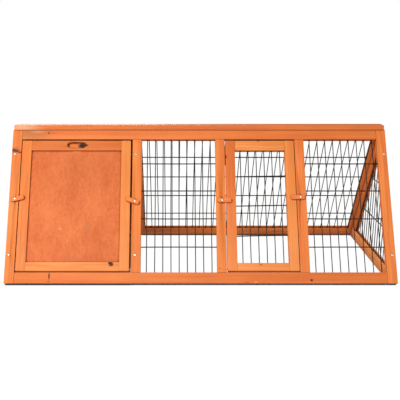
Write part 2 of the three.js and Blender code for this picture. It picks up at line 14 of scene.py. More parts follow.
import bmesh
import bpy
import numpy as np
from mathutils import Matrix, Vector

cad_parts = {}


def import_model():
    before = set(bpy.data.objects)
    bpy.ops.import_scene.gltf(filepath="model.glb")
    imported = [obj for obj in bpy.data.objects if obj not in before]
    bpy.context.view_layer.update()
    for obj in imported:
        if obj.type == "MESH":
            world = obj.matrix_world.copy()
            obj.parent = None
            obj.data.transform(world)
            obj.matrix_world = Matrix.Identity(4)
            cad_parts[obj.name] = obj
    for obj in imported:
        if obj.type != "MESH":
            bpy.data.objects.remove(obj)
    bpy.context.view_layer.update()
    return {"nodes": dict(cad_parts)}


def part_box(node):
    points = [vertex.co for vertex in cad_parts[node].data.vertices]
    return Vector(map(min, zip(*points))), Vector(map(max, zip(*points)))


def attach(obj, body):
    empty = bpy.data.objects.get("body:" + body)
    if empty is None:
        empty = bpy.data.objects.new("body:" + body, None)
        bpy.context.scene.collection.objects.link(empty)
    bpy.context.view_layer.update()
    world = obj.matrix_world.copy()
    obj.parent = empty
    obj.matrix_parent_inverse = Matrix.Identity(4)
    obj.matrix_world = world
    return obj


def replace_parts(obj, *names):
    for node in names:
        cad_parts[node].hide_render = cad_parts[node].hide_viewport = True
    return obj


LOG = logging.getLogger("rabbit_run")
MM = 0.001
FULL_TURN = 2 * math.pi
Points = np.ndarray
Triple = tuple[float, float, float]
Shade = Triple
Shape = tuple[Points, list[list[int]]]
Socket = bpy.types.NodeSocket
Piece = bpy.types.Object
Material = bpy.types.Material
WHITE: Shade = (1.0, 1.0, 1.0)


# ---- finishes


class Graph:
    """Short calls that build the node tree of one material or world."""

    # Painted shade: wood is darkened in grooves, gaps and corners, by how little open space is round a
    # point.
    crevice_shade_reach = 9 * MM
    crevice_shade_free = (0.28, 0.85)
    crevice_shade_colour: Shade = (0.050, 0.010, 0.004)
    sky_samples = 8
    bump_filter = 0.1

    def __init__(self, owner: bpy.types.ID, shader: str = "Principled BSDF") -> None:
        """Starts on the nodes that a new material or world has.

        Args:
            owner: The material or world.
            shader: Name of its shader.
        """
        owner.use_nodes = True
        self.tree = owner.node_tree
        self.shader = self.tree.nodes[shader]

    def feed(self, socket: Socket, value: object) -> None:
        """Links a socket to a value that is a socket too, or sets it.

        Args:
            socket: The socket to fill.
            value: What fills it.
        """
        if isinstance(value, Socket):
            self.tree.links.new(value, socket)
        else:
            socket.default_value = value

    def surface(self, **values: object) -> None:
        """Feeds sockets of the shader, named with _ for each space."""
        for name, value in values.items():
            self.feed(self.shader.inputs[name.replace("_", " ")], value)

    def add(self, kind: str, *values: object, **settings: object) -> bpy.types.ShaderNode:
        """Adds a node.

        Args:
            kind: The node's type, without the ShaderNode prefix.
            *values: What its first sockets get, in order.
            **settings: Values for the node's own properties.

        Returns:
            The new node.
        """
        node = self.tree.nodes.new("ShaderNode" + kind)
        for key, value in settings.items():
            setattr(node, key, value)
        for socket, value in zip(node.inputs, values):
            self.feed(socket, value)
        return node

    def place(self) -> Socket:
        """Returns the object coordinates."""
        return self.add("TexCoord").outputs["Object"]

    def grain(self) -> Socket:
        """Returns the place in the tree, which Workshop.lay_grain wrote."""
        return self.add("Attribute", attribute_name="grain").outputs["Vector"]

    def math(self, operation: str, *values: object) -> Socket:
        """Returns the result of a Math node on one to three values."""
        return self.add("Math", *values, operation=operation).outputs[0]

    def vector(self, operation: str, *values: object) -> Socket:
        """Returns the vector that a Vector Math node gives."""
        return self.add("VectorMath", *values, operation=operation).outputs[0]

    def measure(self, operation: str, *values: object) -> Socket:
        """Returns the number that a Vector Math node gives."""
        return self.add("VectorMath", *values, operation=operation).outputs["Value"]

    def noise(self, source: object, scale: Triple, octaves: float = 2.0, rough: float = 0.5) -> Socket:
        """Returns a noise from 0 to 1, with a scale of waves in a metre along each axis."""
        place = self.vector("MULTIPLY", source, scale)
        return self.add("TexNoise", place, 0.0, 1.0, octaves, rough).outputs["Fac"]

    def between(self, value: object, low: float, high: float, start: object = 0.0,
                end: object = 1.0) -> Socket:
        """Returns a value eased from start to end as the source goes from low to high."""
        values = (value, low, high, start, end)
        return self.add("MapRange", *values, interpolation_type="SMOOTHSTEP").outputs[0]

    def mix(self, factor: object, first: object, second: object) -> Socket:
        """Mixes two colours.

        Args:
            factor: Share of the second one.
            first: One colour.
            second: The other colour.

        Returns:
            The mixed colour.
        """
        node = self.add("Mix", factor, data_type="RGBA")
        colours = [socket for socket in node.inputs if socket.type == "RGBA"]
        for socket, value in zip(colours, (first, second)):
            self.feed(socket, (*value, 1.0) if isinstance(value, tuple) else value)
        return next(socket for socket in node.outputs if socket.type == "RGBA")

    def openness(self, reach: float) -> Socket:
        """Returns how free the space round a point is, from 0 to 1, as far as a reach."""
        return self.add("AmbientOcclusion", (*WHITE, 1.0), reach, samples=self.sky_samples).outputs["AO"]

    def paint_crevice_shade(self, shade: object, depth: float) -> Socket:
        """Returns a shade darkened with painted shade in grooves, gaps and corners, at most by a depth."""
        cover = self.between(self.openness(self.crevice_shade_reach), *self.crevice_shade_free, depth, 0.0)
        return self.mix(cover, shade, self.crevice_shade_colour)

    def bump(self, height: object, depth: float, strength: float) -> None:
        """Gives the shader a bump from a height of 0 to 1, of a depth in metres."""
        node = self.add("Bump", strength, depth, self.bump_filter, height)
        self.surface(Normal=node.outputs[0])


class Tone(Enum):
    """How the stain took on a timber: its light and its dark shade."""

    PALE = ((1.0, 0.365, 0.092), (0.95, 0.275, 0.064))
    HONEY = ((1.0, 0.305, 0.072), (0.90, 0.215, 0.046))
    AMBER = ((0.94, 0.255, 0.060), (0.80, 0.180, 0.038))
    RUSSET = ((0.88, 0.235, 0.048), (0.72, 0.160, 0.030))


class Blemish(Enum):
    """What a mark on the wood is, with its colour; the dark knot and rusty colours also serve for painted
    shade.
    """

    KNOT_AND_SHADE = (0.035, 0.009, 0.004)
    RUSTY_AND_SHADE = (0.34, 0.070, 0.022)
    RUBBED = (0.92, 0.47, 0.26)
    OLIVE = (0.46, 0.220, 0.095)


@dataclass(frozen=True)
class Mark:
    """A knot, scar, blotch or band of painted shade, which goes through a piece.

    Attributes:
        place: Its middle in the model's frame.
        up: The direction of its height.
        radius: Half its size along X and along its height.
        depth: How fully it covers the stain, from 0 to 1.
        soft: How softly its rim fades, from 0 to 1.
        rim: Where a hard mark's rim fades out, in radii.
        fade: How far inwards a soft rim reaches.
    """

    place: Triple
    up: Triple
    radius: tuple[float, float]
    kind: Blemish = Blemish.KNOT_AND_SHADE
    depth: float = 0.85
    soft: float = 0.0
    rim: tuple[float, float] = (0.95, 1.6)
    fade: float = 0.8
    fray: float = 0.7
    fray_scale: Triple = (420, 420, 420)

    def lay(self, graph: Graph, place: object, shade: object) -> Socket:
        """Covers a shade where the mark is, which is an ellipse with a frayed rim.

        Args:
            graph: The material's nodes.
            place: Object coordinates.
            shade: The shade under the mark.

        Returns:
            The new shade.
        """
        away = graph.vector("SUBTRACT", place, self.place)
        slope = tuple(c / self.radius[1] for c in self.up)
        across = graph.measure("DOT_PRODUCT", away, (1 / self.radius[0], 0.0, 0.0))
        along = graph.measure("DOT_PRODUCT", away, slope)
        squares = [graph.math("MULTIPLY", share, share) for share in (across, along)]
        ragged = graph.math("MULTIPLY", graph.noise(place, self.fray_scale), self.fray)
        distance = graph.math("ADD", graph.math("SQRT", graph.math("ADD", *squares)), ragged)
        inner = self.rim[0] - self.fade * self.soft
        cover = graph.between(distance, inner, self.rim[1], self.depth, 0.0)
        return graph.mix(cover, shade, self.kind.value)


@dataclass(frozen=True)
class Finish:
    """What a piece's surface is made of."""

    def paint(self, graph: Graph) -> None:
        """Lays the finish's nodes."""
        raise NotImplementedError


@dataclass(frozen=True)
class StainedWood(Finish):
    """Softwood with a thin honey-orange stain, whose grain follows each timber.

    Attributes:
        pale_foot: How much paler the wood is towards the ground, between the foot heights.
        ring_strength: How far a ring dulls the stain, as wear does in patches.
        speck_size: Radii between which a small knot fades, in cells.
    """

    tone: Tone = Tone.HONEY
    marks: tuple[Mark, ...] = ()
    pale_foot: float = 0.0
    foot_height: tuple[float, float] = (0.03, 0.30)
    foot_shade: Shade = (1.0, 0.335, 0.100)
    ring_spacing: float = 3.2 * MM
    ring_strength: float = 0.26
    ring_waver: float = 6 * MM
    pore_shade: Shade = (0.50, 0.115, 0.022)
    wear: float = 0.24
    speck_size: tuple[float, float] = (0.02, 0.05)
    speck_depth: float = 0.6
    speck_shade: Shade = (0.09, 0.024, 0.010)
    crevice_shade_depth: float = 0.9
    gloss: float = 0.25
    relief: float = 0.25 * MM

    def rings(self, graph: Graph, grain: Socket) -> Socket:
        """Draws growth rings: the sine of the wavering distance from the pith.

        Args:
            graph: The material's nodes.
            grain: The place in the tree.

        Returns:
            A value of 1 in each ring's late wood.
        """
        waver = graph.math("MULTIPLY", graph.noise(grain, (5, 22, 22)), self.ring_waver)
        across = graph.vector("MULTIPLY", grain, (0.0, 1.0, 1.0))
        radius = graph.math("ADD", graph.measure("LENGTH", across), waver)
        wave = graph.math("SINE", graph.math("MULTIPLY", radius, FULL_TURN / self.ring_spacing))
        return graph.between(wave, 0.1, 1.0)

    def paint(self, graph: Graph) -> None:
        """Lays slow streaks along the grain, a paler foot, rings, wear, small knots and the marks.

        Args:
            graph: The material's nodes.
        """
        light, dark = self.tone.value
        grain, place = graph.grain(), graph.place()
        ring = self.rings(graph, grain)
        fibre = graph.noise(grain, (26, 1300, 1300), 2, 0.6)
        streak = graph.between(graph.noise(grain, (2.2, 55, 55), 3, 0.6), 0.3, 0.72)
        shade = graph.mix(streak, light, dark)
        if self.pale_foot:
            height = graph.measure("DOT_PRODUCT", place, (0.0, 0.0, 1.0))
            low = graph.between(height, *self.foot_height, self.pale_foot, 0.0)
            shade = graph.mix(low, shade, self.foot_shade)
        shade = graph.mix(graph.math("MULTIPLY", ring, self.ring_strength), shade, self.pore_shade)
        patches = graph.math("ADD", graph.noise(place, (7, 7, 7)), graph.math("MULTIPLY", fibre, 0.4))
        shade = graph.mix(graph.between(patches, 0.45, 1.0, 0.0, self.wear), shade, self.pore_shade)
        cells = graph.add("TexVoronoi", graph.vector("MULTIPLY", grain, (3.4, 13, 13)), feature="F1")
        speck = graph.between(cells.outputs["Distance"], *self.speck_size, self.speck_depth, 0.0)
        shade = graph.mix(speck, shade, self.speck_shade)
        for mark in self.marks:
            shade = mark.lay(graph, place, shade)
        # Painted shade in grooves, gaps and corners.
        graph.surface(Base_Color=graph.paint_crevice_shade(shade, self.crevice_shade_depth),
                      Roughness=graph.between(fibre, 0.3, 0.8, 0.50, 0.66),
                      Specular_IOR_Level=self.gloss)
        graph.bump(graph.math("ADD", fibre, graph.math("MULTIPLY", ring, 0.5)), self.relief, 0.5)


@dataclass(frozen=True)
class StainedPlywood(Finish):
    """Plywood with the same stain, which took in clouds on its rotary-cut face."""

    marks: tuple[Mark, ...] = ()
    light: Shade = (0.84, 0.225, 0.070)
    dark: Shade = (0.66, 0.140, 0.038)
    stain: Shade = (0.52, 0.115, 0.038)
    cloud_share: float = 0.66
    crevice_shade_depth: float = 0.7
    gloss: float = 0.22
    relief: float = 0.2 * MM

    def paint(self, graph: Graph) -> None:
        """Lays clouds of two sizes, faint fibres and the marks.

        Args:
            graph: The material's nodes.
        """
        grain, place = graph.grain(), graph.place()
        cloud = graph.noise(grain, (9, 15, 15), 4, 0.6)
        mottle = graph.noise(grain, (90, 130, 130), 3, 0.65)
        fibre = graph.noise(grain, (14, 420, 420), 3, 0.65)
        both = graph.math("ADD", graph.math("MULTIPLY", cloud, self.cloud_share),
                          graph.math("MULTIPLY", mottle, 1 - self.cloud_share))
        shade = graph.mix(graph.between(both, 0.32, 0.70), self.light, self.dark)
        shade = graph.mix(graph.between(fibre, 0.46, 0.7, 0.0, 0.20), shade, self.stain)
        for mark in self.marks:
            shade = mark.lay(graph, place, shade)
        # Painted shade in grooves, gaps and corners.
        graph.surface(Base_Color=graph.paint_crevice_shade(shade, self.crevice_shade_depth),
                      Roughness=graph.between(mottle, 0.3, 0.7, 0.58, 0.74),
                      Specular_IOR_Level=self.gloss)
        graph.bump(graph.math("ADD", fibre, mottle), self.relief, 0.45)


@dataclass(frozen=True)
class CoatedWire(Finish):
    """Welded wire with a thin dark coat, a little uneven and dusty."""

    shade: Shade = (0.012, 0.009, 0.008)
    dust: Shade = (0.045, 0.034, 0.028)
    gloss: float = 0.3
    relief: float = 0.1 * MM

    def paint(self, graph: Graph) -> None:
        """Lays dust in patches over the coat.

        Args:
            graph: The material's nodes.
        """
        place = graph.place()
        cover = graph.between(graph.noise(place, (90, 90, 90), 3, 0.6), 0.4, 0.75)
        graph.surface(Base_Color=graph.mix(cover, self.shade, self.dust),
                      Roughness=graph.between(cover, 0.0, 1.0, 0.42, 0.65),
                      Specular_IOR_Level=self.gloss)
        graph.bump(graph.noise(place, (900, 900, 900)), self.relief, 0.4)


@dataclass(frozen=True)
class ZincSteel(Finish):
    """Bright zinc-plated steel, hazed in fine patches."""

    shade: Shade = (0.86, 0.84, 0.80)
    dull: Shade = (0.55, 0.53, 0.50)
    relief: float = 0.05 * MM

    def paint(self, graph: Graph) -> None:
        """Lays the haze over the bright metal.

        Args:
            graph: The material's nodes.
        """
        haze = graph.noise(graph.place(), (500, 500, 500), 3, 0.6)
        graph.surface(Base_Color=graph.mix(graph.between(haze, 0.45, 0.75), self.shade, self.dull),
                      Roughness=graph.between(haze, 0.3, 0.7, 0.28, 0.5),
                      Metallic=1.0)
        graph.bump(haze, self.relief, 0.4)


# ---- shared shapes


def plain(values: Points) -> tuple[float, ...]:
    """Returns an array's values as a tuple of plain numbers."""
    return tuple(float(value) for value in values)


@dataclass(frozen=True)
class PanelFrame:
    """The frame of a sloping panel, with its origin at the panel's lower outer edge.

    Attributes:
        foot: Distance of that edge from the middle of the run.
        timber: Thickness of the panel.
        slope: Angle of the panel to the ground.
        rear: True for the panel behind.
    """

    foot: float
    timber: float = 18 * MM
    slope: float = math.radians(60)
    rear: bool = False

    @property
    def axes(self) -> Points:
        """Rows are the directions across, up the slope and out of the panel."""
        sign = -1.0 if self.rear else 1.0
        c, s = math.cos(self.slope), math.sin(self.slope)
        return np.array([[sign, 0, 0], [0, sign * c, s], [0, -sign * s, c]])

    @property
    def origin(self) -> Points:
        """The place of the panel's origin in the model's frame."""
        side = 1.0 if self.rear else -1.0
        return np.array([0.0, side * self.foot, self.timber * math.cos(self.slope)])

    def to_world(self, points: Points) -> Points:
        """Returns panel points in the model's frame."""
        return np.asarray(points, float) @ self.axes + self.origin

    def to_panel(self, points: Points) -> Points:
        """Returns points of the model in the panel's frame."""
        return (np.asarray(points, float) - self.origin) @ self.axes.T

    def mark(self, place: Points, radius: tuple[float, float], kind: Blemish, depth: float,
             soft: float) -> Mark:
        """Returns a mark at a place of the panel, with the attributes that Mark names."""
        return Mark(plain(self.to_world([place])[0]), plain(self.axes[1]), radius, kind, depth, soft)


@dataclass(frozen=True)
class EndFrame(PanelFrame):
    """The frame of an upright end, with its origin at the model's."""

    @property
    def axes(self) -> Points:
        """Rows are the directions to the rear, up and to the right."""
        return np.eye(3)[[1, 2, 0]]

    @property
    def origin(self) -> Points:
        """The model's origin."""
        return np.zeros(3)


def node_points(node: Piece) -> Points:
    """Reads the corners of an object.

    Args:
        node: A node of the frame, or a piece.

    Returns:
        The corners, n by 3.
    """
    flat = np.empty(len(node.data.vertices) * 3, np.float32)
    node.data.vertices.foreach_get("co", flat)
    return flat.reshape(-1, 3).astype(float)


def put(name: str, mesh: bpy.types.ID) -> Piece:
    """Adds an object to the scene.

    Args:
        name: Its name.
        mesh: Its mesh, or the data of its light or camera.

    Returns:
        The object.
    """
    piece = bpy.data.objects.new(name, mesh)
    bpy.context.scene.collection.objects.link(piece)
    return piece


def mesh_object(name: str, shape: Shape, smooth: bool = True) -> Piece:
    """Makes an object at the origin.

    Args:
        name: The object's name.
        shape: Corners in the model's frame, and the corner numbers of each face.
        smooth: Whether faces are shaded smooth.

    Returns:
        The object, linked to the scene.
    """
    points, faces = shape
    mesh = bpy.data.meshes.new(name)
    mesh.from_pydata(np.asarray(points, float).tolist(), [], [list(face) for face in faces])
    mesh.validate()
    mesh.polygons.foreach_set("use_smooth", np.full(len(mesh.polygons), smooth))
    mesh.update()
    return put(name, mesh)


def closed_grid(rings: Points) -> Shape:
    """Joins a stack of rings by four-sided faces and closes it with a flat face at each end.

    Args:
        rings: Array of rows by columns by 3, each row a ring that turns left about the way onward.

    Returns:
        The shape, whose faces point outwards.
    """
    rows, columns = rings.shape[:2]
    ring = np.arange(columns)
    step = np.roll(ring, -1)
    low = np.arange(rows - 1)[:, None] * columns
    quads = np.stack([low + ring, low + step, low + columns + step, low + columns + ring], -1)
    faces = quads.reshape(-1, 4).tolist()
    faces.append(ring[::-1].tolist())
    faces.append(((rows - 1) * columns + ring).tolist())
    return rings.reshape(-1, 3), faces


def circle(sides: int) -> tuple[Points, Points]:
    """Returns the cosines and sines of evenly spaced angles round a circle."""
    angle = np.linspace(0, FULL_TURN, sides, endpoint=False)
    return np.cos(angle), np.sin(angle)


def tube(path: Points, radius: float, sides: int = 8) -> Shape:
    """Carries a circle along a nearly straight path.

    A ring's corner is the path point plus radius times (cos a, sin a) on two directions square to
    the way from the path's first point to its last.

    Args:
        path: Points along the middle, n by 3.
        radius: Radius of the tube.
        sides: Corners round the tube.

    Returns:
        The closed tube.
    """
    way = path[-1] - path[0]
    way = way / np.linalg.norm(way)
    side = np.cross(way, np.eye(3)[np.argmin(np.abs(way))])
    side /= np.linalg.norm(side)
    cos, sin = circle(sides)
    ring = cos[:, None] * side + sin[:, None] * np.cross(way, side)
    return closed_grid(path[:, None, :] + radius * ring[None])


def joined(shapes: Sequence[Shape]) -> Shape:
    """Joins several shapes.

    Args:
        shapes: The shapes.

    Returns:
        All of them as one.
    """
    starts = np.cumsum([0] + [len(points) for points, _ in shapes])
    faces = [[corner + int(start) for corner in face]
             for start, (_, part) in zip(starts, shapes) for face in part]
    return np.concatenate([points for points, _ in shapes]), faces


def stood(name: str, shape: Shape, place: Points, axes: Points, turn: float, crease: float) -> Piece:
    """Turns a shape about its own z and stands it on a face.

    Args:
        name: The new object's name.
        shape: The shape, standing on z = 0.
        place: Where its origin goes.
        axes: Rows are the two directions on the face and the way out of it.
        turn: Angle of the turn.
        crease: Edges sharper than this many degrees stay sharp.

    Returns:
        The object.
    """
    c, s = math.cos(turn), math.sin(turn)
    spin = np.array([[c, s, 0], [-s, c, 0], [0, 0, 1.0]])
    piece = mesh_object(name, (shape[0] @ spin @ axes + place, shape[1]))
    piece.data.set_sharp_from_angle(angle=math.radians(crease))
    return piece


def coat(piece: Piece, material: Material) -> None:
    """Gives a piece its only material."""
    piece.data.materials.clear()
    piece.data.materials.append(material)


def dress(piece: Piece, material: Material, body: str) -> None:
    """Makes a piece ready.

    Args:
        piece: The piece.
        material: Its material.
        body: The body it rides on.
    """
    coat(piece, material)
    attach(piece, body)


# ---- timbers


class Grain(Enum):
    """The way the grain of a timber runs."""

    ACROSS = "along the run"
    UP_FRONT = "up the front slope"
    UP_REAR = "up the rear slope"
    DEPTH = "from front to rear"
    PLUMB = "plumb"


@dataclass
class Workshop:
    """Turns nodes of the frame into finished timbers and boards.

    Attributes:
        ease: Radius of an eased edge.
        shortest: Edges shorter than this stay sharp, such as those of a bore.
        corner: Edges that turn less, in degrees, stay sharp too.
        crease: Edges that turn more are shaded sharp.
        spread: Largest distance of a timber from the pith of its tree.
        seed: Seed of the next timber's place in its tree.
        made: The materials made so far.
    """

    nodes: dict[str, Piece]
    front: PanelFrame
    rear: PanelFrame
    ease: float = 0.9 * MM
    shortest: float = 1.2 * MM
    corner: float = 28.0
    crease: float = 50.0
    spread: float = 0.055
    trunk: float = 12.0
    seed: int = 20
    made: dict[Finish, Material] = field(default_factory=dict)

    def material(self, finish: Finish, name: str) -> Material:
        """Makes the material of a finish, once.

        Args:
            finish: The finish.
            name: The material's name, if it is new.

        Returns:
            The material.
        """
        if finish not in self.made:
            self.made[finish] = bpy.data.materials.new(name)
            finish.paint(Graph(self.made[finish]))
        return self.made[finish]

    def directions(self, grain: Grain) -> Points:
        """Finds the directions of a timber.

        Args:
            grain: The way its grain runs.

        Returns:
            Rows along the grain, across it and through the timber.
        """
        return {
            Grain.ACROSS: self.front.axes,
            Grain.UP_FRONT: self.front.axes[[1, 0, 2]],
            Grain.UP_REAR: self.rear.axes[[1, 0, 2]],
            Grain.DEPTH: np.eye(3)[[1, 2, 0]],
            Grain.PLUMB: np.eye(3)[[2, 1, 0]],
        }[grain]

    def eased(self, node: str, suffix: str) -> Piece:
        """Copies a node and rounds its long outer edges.

        The copy's loose triangles are merged and flat ones joined. Each outward edge that is longer
        than the shortest one then becomes a quarter round of the easing radius.

        Args:
            node: Name of the node.
            suffix: What the new piece's name ends with.

        Returns:
            The new piece, which stands for the node.
        """
        shape = bmesh.new()
        shape.from_mesh(self.nodes[node].data)
        bmesh.ops.remove_doubles(shape, verts=shape.verts, dist=0.002 * MM)
        bmesh.ops.dissolve_limit(shape, angle_limit=math.radians(0.6), verts=shape.verts, edges=shape.edges)
        chosen = [e for e in shape.edges if e.is_manifold and e.is_convex
                  and e.calc_face_angle() > math.radians(self.corner) and e.calc_length() > self.shortest]
        bmesh.ops.bevel(shape, geom=chosen, offset=self.ease, offset_type="OFFSET", segments=2,
                        profile=0.5, affect="EDGES", clamp_overlap=True)
        mesh = bpy.data.meshes.new(f"{node}_{suffix}")
        shape.to_mesh(mesh)
        shape.free()
        mesh.polygons.foreach_set("use_smooth", np.ones(len(mesh.polygons), bool))
        mesh.set_sharp_from_angle(angle=math.radians(self.crease))
        piece = put(mesh.name, mesh)
        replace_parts(piece, node)
        return piece

    def lay_grain(self, piece: Piece, grain: Grain) -> None:
        """Writes each corner's place in the tree the timber was sawn from.

        The place is the corner along, across and through the grain, measured from the piece's middle,
        moved to a seeded distance from the pith.

        Args:
            piece: The timber.
            grain: The way its grain runs.
        """
        draw = np.random.default_rng(self.seed)
        self.seed += 1
        points = node_points(piece)
        local = (points - points.mean(0)) @ self.directions(grain).T
        pith = np.array([draw.uniform(0, self.trunk), draw.uniform(-self.spread, self.spread),
                         draw.uniform(0.3, 1.0) * self.spread])
        attribute = piece.data.attributes.new("grain", "FLOAT_VECTOR", "POINT")
        attribute.data.foreach_set("vector", (local + pith).astype(np.float32).ravel())

    def saw(self, node: str, grain: Grain, finish: Finish, body: str = "frame") -> None:
        """Makes one batten or board.

        Args:
            node: The node it stands for.
            grain: The way its grain runs.
            finish: Its wood.
            body: The body it rides on.
        """
        board = isinstance(finish, StainedPlywood)
        suffix, label = ("ply", "plywood") if board else ("timber", "wood")
        piece = self.eased(node, suffix)
        self.lay_grain(piece, grain)
        dress(piece, self.material(finish, f"{label}_{len(self.made)}"), body)
        LOG.info("%s %s", label, piece.name)


KNOT_AND_SHADE, RUSTY_AND_SHADE, RUBBED, OLIVE = Blemish
TONES: dict[str, Tone] = {
    **dict.fromkeys(("front_top_rail", "front_bottom_rail", "mesh_door_left_stile"), Tone.AMBER),
    **dict.fromkeys(("ridge_cap", "hide_door_top_rail"), Tone.RUSSET),
    **dict.fromkeys(("hide_door_right_stile", "hide_door_bottom_rail"), Tone.PALE),
    **dict.fromkeys(("mesh_door_right_stile", "mesh_door_top_rail"), Tone.PALE),
}
# Across, up, width and height in millimetres on the front panel, then kind, depth and softness.
FRONT_MARKS: dict[str, tuple[tuple, ...]] = {
    "front_left_stile": (
        (-590, 428, 36, 24, RUSTY_AND_SHADE, 0.6, 0.6),
        (-594, 428, 18, 13, KNOT_AND_SHADE, 0.75, 0.4),
        (-584, 425, 18, 9, KNOT_AND_SHADE, 0.8, 0.4),
        (-575, 421, 13, 6, KNOT_AND_SHADE, 0.9, 0.3),
    ),
    "front_top_rail": (
        (-545, 482, 150, 60, OLIVE, 0.5, 1.0),
        (-555, 488, 26, 15, OLIVE, 0.6, 0.6),
        (-530, 480, 150, 50, RUSTY_AND_SHADE, 0.22, 1.0),
        (-520, 491, 60, 14, RUBBED, 0.4, 1.0),
        (-485, 486, 6, 8, KNOT_AND_SHADE, 0.8, 0.3),
        (-472, 486, 34, 3, RUSTY_AND_SHADE, 0.6, 0.6),
    ),
    "front_bottom_rail": (
        (-462.5, 22.2, 6, 22, KNOT_AND_SHADE, 0.9, 0.2),
        (-463.5, 5.6, 8, 5, RUSTY_AND_SHADE, 0.8),
        (-60, 17, 700, 90, RUSTY_AND_SHADE, 0.14, 1.0),
        (337.7, 9.9, 10, 9, KNOT_AND_SHADE, 0.85, 0.2),
        (140, 4, 22, 5, RUSTY_AND_SHADE, 0.5, 0.4),
        (168, 4, 10, 5, RUBBED, 0.6, 0.4),
    ),
    "front_post_2": (
        (59, 46, 12, 4, RUSTY_AND_SHADE, 0.6, 0.4),
        (68, 245, 5, 5, RUBBED, 0.7, 0.3),
    ),
    "ridge_cap": ((-575, 507, 160, 60, RUBBED, 0.9, 1.0),),
    "hide_door_top_rail": (
        (-376, 445.5, 30, 22, KNOT_AND_SHADE, 1.0, 0.15),
        (-362, 445, 12, 7, KNOT_AND_SHADE, 0.9),
        # Painted shade along the finger slot's left end, upper edge and lower edge.
        (-421.5, 446, 7, 16, KNOT_AND_SHADE, 0.85, 0.4),
        (-400, 455.5, 44, 5, KNOT_AND_SHADE, 0.6, 0.5),
        (-402, 435, 34, 4, RUSTY_AND_SHADE, 0.6, 0.5),
    ),
    "hide_door_bottom_rail": (
        (-274, 59, 16, 15, KNOT_AND_SHADE, 0.9, 0.2),
        (-279, 63, 10, 8, KNOT_AND_SHADE, 0.9),
    ),
    "hide_door_board": (
        # Painted shade over the board's upper part, under the door's top rail.
        (-386, 400, 330, 300, RUSTY_AND_SHADE, 0.16, 1.0),
        (-393, 426, 46, 8, RUBBED, 0.6, 0.8),
        (-425.4, 288, 14, 14, OLIVE, 0.4, 0.8),
        (-356.6, 175, 14, 30, OLIVE, 0.55, 0.8),
        (-435.6, 171.6, 12, 10, RUBBED, 0.45, 0.7),
        (-386, 72, 110, 16, OLIVE, 0.4, 1.0),
    ),
    "mesh_door_left_stile": ((84.5, 406, 8, 13, KNOT_AND_SHADE, 0.75, 0.3),),
    "mesh_door_top_rail": ((189, 459, 8, 5, RUSTY_AND_SHADE, 0.9, 0.3),),
    "mesh_door_bottom_rail": ((185, 58, 9, 5, RUSTY_AND_SHADE, 0.9, 0.3),),
}
# Painted shade lines: place of the edge in the node's box, the way across the line, its width in millimetres
# and its kind.
EDGE_SHADE_LINES: dict[str, tuple[tuple, ...]] = {
    "ridge_cap": (((0.0, 1.0, 1.0), (0.0, 1.0, 0.0), 5, RUSTY_AND_SHADE),),
    "rear_bottom_rail": (((0.0, 0.0, 1.0), (0.0, 0.0, 1.0), 7, KNOT_AND_SHADE),),
}


